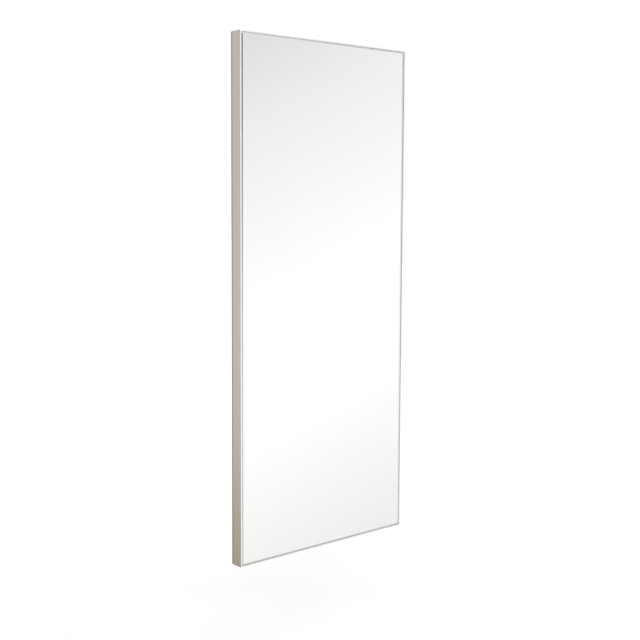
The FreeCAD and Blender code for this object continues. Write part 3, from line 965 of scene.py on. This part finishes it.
@dataclass(frozen=True)
class StudioFloor(Finish):
    """Plain pale floor, lifted to white for the camera only, so that it keeps the shadow."""

    low: Colour = (0.84, 0.84, 0.84)
    high: Colour = (0.88, 0.88, 0.88)
    roughness: float = 0.9
    patches: float = 2.0
    lift: Span = (0.24, 0.60)
    lamps_reach: Span = (1.5, 5.0)

    def lay(self, coat: Surface) -> None:
        """Lay a matt floor with faint patches, and the camera's lift, which grows where the lamps fade.

        Args:
            coat: the material's wiring, shader and coordinates.
        """
        patches = coat.effect(SoftMottle(), coat.where, Patches=self.patches)
        coat.give("Base Color", coat.blend(patches, self.low, self.high))
        coat.give("Roughness", self.roughness)
        coat.give("Specular IOR Level", 0.0)
        coat.give("Emission Color", WHITE)
        away = coat.add("ShaderNodeVectorMath", operation="LENGTH")
        coat.feed(away.inputs[0], coat.where)
        lift = coat.rescale(away.outputs["Value"], self.lamps_reach, self.lift)
        seen = coat.add("ShaderNodeLightPath").outputs["Is Camera Ray"]
        coat.give("Emission Strength", coat.math("MULTIPLY", seen, lift))


@dataclass(frozen=True)
class StudioSky:
    """Studio round the object: white to the camera, plain to matt surfaces, toned for gloss and glass.

    In front a tilted strip of light fades to grey above and below, and a narrow flag dims it at the
    right, most of all high up. Behind, two white panels stand apart, left and right, over a darker,
    warmer ground. Angles are in degrees, and other places are parts of a unit direction.
    """

    plain_light: float = 0.62
    azimuth: float = 41.6
    elevation: float = -5.4
    tilt: float = 29.0
    # Tones across the strip: sine of the angle above its middle, and colour
    strip: Tones = (
        (-1.00, (0.52, 0.50, 0.47)),
        (-0.50, (0.58, 0.55, 0.51)),
        (-0.36, (0.68, 0.62, 0.55)),
        (-0.19, (0.885, 0.88, 0.875)),
        (-0.087, (1.02, 1.02, 1.02)),
        (0.03, (1.02, 1.02, 1.02)),
        (0.17, (0.86, 0.86, 0.86)),
        (0.235, (0.75, 0.75, 0.75)),
        (0.45, (0.62, 0.62, 0.62)),
        (1.00, (0.56, 0.56, 0.56)),
    )
    # Tones behind: sine of the elevation, and colour
    rear: Tones = (
        (-1.00, (0.34, 0.28, 0.22)),
        (-0.55, (0.46, 0.36, 0.27)),
        (-0.38, (0.57, 0.46, 0.34)),
        (-0.28, (0.83, 0.76, 0.69)),
        (-0.21, (1.17, 1.17, 1.17)),
        (-0.02, (1.06, 1.06, 1.06)),
        (0.16, (1.00, 1.00, 1.00)),
        (1.00, (0.95, 0.95, 0.95)),
    )
    gap_middle: float = -0.19
    gap_reach: Span = (0.24, 0.07)
    gap_takes: float = 0.88
    front_to_rear: Span = (0.05, 0.45)
    flag_near: Span = (0.720, 0.752)
    flag_far: Span = (0.88, 0.81)
    flag_rise: Span = (-0.22, 0.10)
    flag_takes: Span = (0.24, 0.85)

    def strip_normal(self) -> np.ndarray:
        """Normal of the plane that holds the strip.

        Returns:
            The unit vector: the strip's middle direction crossed with the way that the strip runs.
        """
        across, up, tilt = np.radians((self.azimuth, self.elevation, self.tilt))
        middle = np.array((np.sin(across) * np.cos(up), -np.cos(across) * np.cos(up), np.sin(up)))
        sideways = np.array((np.cos(across), np.sin(across), 0.0))
        upwards = np.cross(middle, sideways)
        return np.cross(middle, sideways * np.cos(tilt) + upwards * np.sin(tilt))

    @staticmethod
    def ramp(wiring: Wiring, sine: Socket, tones: Tones) -> Socket:
        """Colour by a sine.

        Args:
            wiring: the sky's wiring.
            sine: value from -1 to 1.
            tones: sines in rising order, each with its colour.
        Returns:
            The colour.
        """
        node = wiring.add("ShaderNodeValToRGB")
        wiring.feed(node.inputs["Fac"], wiring.rescale(sine, SINES))
        stops = node.color_ramp.elements
        while len(stops) < len(tones):
            stops.new(1.0)
        for stop, (place, tone) in zip(stops, tones):
            stop.position = (place + 1.0) / 2.0
            stop.color = (*tone, 1.0)
        return node.outputs["Color"]

    def front(self, wiring: Wiring, way: Socket) -> Socket:
        """Tones in front: the strip, dimmed by the flag.

        Args:
            wiring: the sky's wiring.
            way: direction, as a unit vector.
        Returns:
            The colour.
        """
        facing = wiring.add("ShaderNodeVectorMath", operation="DOT_PRODUCT")
        wiring.feed(facing.inputs[0], way)
        wiring.feed(facing.inputs[1], tuple(self.strip_normal()))
        light = self.ramp(wiring, facing.outputs["Value"], self.strip)
        parts = wiring.apart(way)
        flag = wiring.rescale(parts["Z"], self.flag_rise, self.flag_takes)
        for edge in (self.flag_near, self.flag_far):
            flag = wiring.math("MULTIPLY", flag, wiring.rescale(parts["X"], edge))
        return wiring.blend(flag, light, BLACK)

    def behind(self, wiring: Wiring, way: Socket) -> Socket:
        """Tones behind: the panels over the ground, dark in the gap between them.

        Args:
            wiring: the sky's wiring.
            way: direction, as a unit vector.
        Returns:
            The colour.
        """
        parts = wiring.apart(way)
        panels = self.ramp(wiring, parts["Z"], self.rear)
        aside = wiring.math("ABSOLUTE", wiring.math("SUBTRACT", parts["X"], self.gap_middle))
        gap = wiring.rescale(aside, self.gap_reach, (0.0, self.gap_takes))
        return wiring.blend(gap, panels, BLACK)

    def toned(self, wiring: Wiring) -> Socket:
        """What gloss and glass see in each direction.

        Args:
            wiring: the sky's wiring.
        Returns:
            The colour.
        """
        way = wiring.add("ShaderNodeTexCoord").outputs["Generated"]
        rearwards = wiring.rescale(wiring.apart(way)["Y"], self.front_to_rear)
        return wiring.blend(rearwards, self.front(wiring, way), self.behind(wiring, way))

    def build(self) -> None:
        """Make the world: each kind of ray gets its own background."""
        world = bpy.data.worlds.new("studio_sky")
        world.use_nodes = True
        world.node_tree.nodes.clear()
        wiring = Wiring(world.node_tree)
        skies = []
        for colour, strength in ((WHITE, self.plain_light), (self.toned(wiring), 1.0), (WHITE, 1.0)):
            sky = wiring.add("ShaderNodeBackground")
            wiring.feed(sky.inputs["Color"], colour)
            wiring.feed(sky.inputs["Strength"], strength)
            skies.append(sky.outputs[0])
        shown, toned, white = skies
        path = wiring.add("ShaderNodeLightPath").outputs
        shining = wiring.math("MAXIMUM", path["Is Glossy Ray"], path["Is Transmission Ray"])
        for share, sky in ((shining, toned), (path["Is Camera Ray"], white)):
            mix = wiring.add("ShaderNodeMixShader")
            for place, item in enumerate((share, shown, sky)):
                wiring.feed(mix.inputs[place], item)
            shown = mix.outputs[0]
        wiring.feed(wiring.add("ShaderNodeOutputWorld").inputs["Surface"], shown)
        bpy.context.scene.world = world


@dataclass
class Studio:
    """Camera, sky, soft lamps and floor."""

    floor_drop: float = 0.45
    floor_reach: float = 40.0
    floor_points: int = 9
    lamps: tuple[SoftBox, ...] = (
        SoftBox("key_softbox", place=(-1.9, -2.6, 1.1), side=2.2, watts=49.0),
        SoftBox("fill_softbox", place=(2.6, -1.8, 1.2), side=2.2, watts=16.0),
        SoftBox("rear_softbox", place=(0.9, 2.9, 1.9), side=2.4, watts=34.0),
    )

    def lay_floor(self) -> None:
        """Lay the floor: X and Y in even steps out to its reach, Z its drop below the mirror."""
        span = np.linspace(-self.floor_reach, self.floor_reach, self.floor_points)
        across, deep = np.meshgrid(span, span, indexing="ij")
        level = np.full_like(across, CAD_BOX[0].z - self.floor_drop)
        surface = grid_mesh("floor", np.stack((across, deep, level), axis=-1))
        floor = bpy.data.objects.new("floor", surface)
        floor.data.materials.append(StudioFloor("studio_floor").material())
        floor.visible_glossy = False
        floor.visible_transmission = False
        bpy.context.scene.collection.objects.link(floor)

    def build(self) -> None:
        """Set up everything round the object."""
        bpy.context.scene.view_settings.view_transform = "Standard"
        StudioCamera().aim()
        StudioSky().build()
        for lamp in self.lamps:
            lamp.light()
        self.lay_floor()


def main() -> None:
    """Build the studio and dress every sub-assembly, with a line in the log for each piece."""
    logging.basicConfig(level=logging.INFO, format="%(name)s: %(message)s")
    Studio().build()
    for assembly in (MirrorFrame(), MirrorPane(), BackClosure(), HangingGear(), WallBumpers()):
        assembly.dress()


if __name__ == "__main__":
    main()
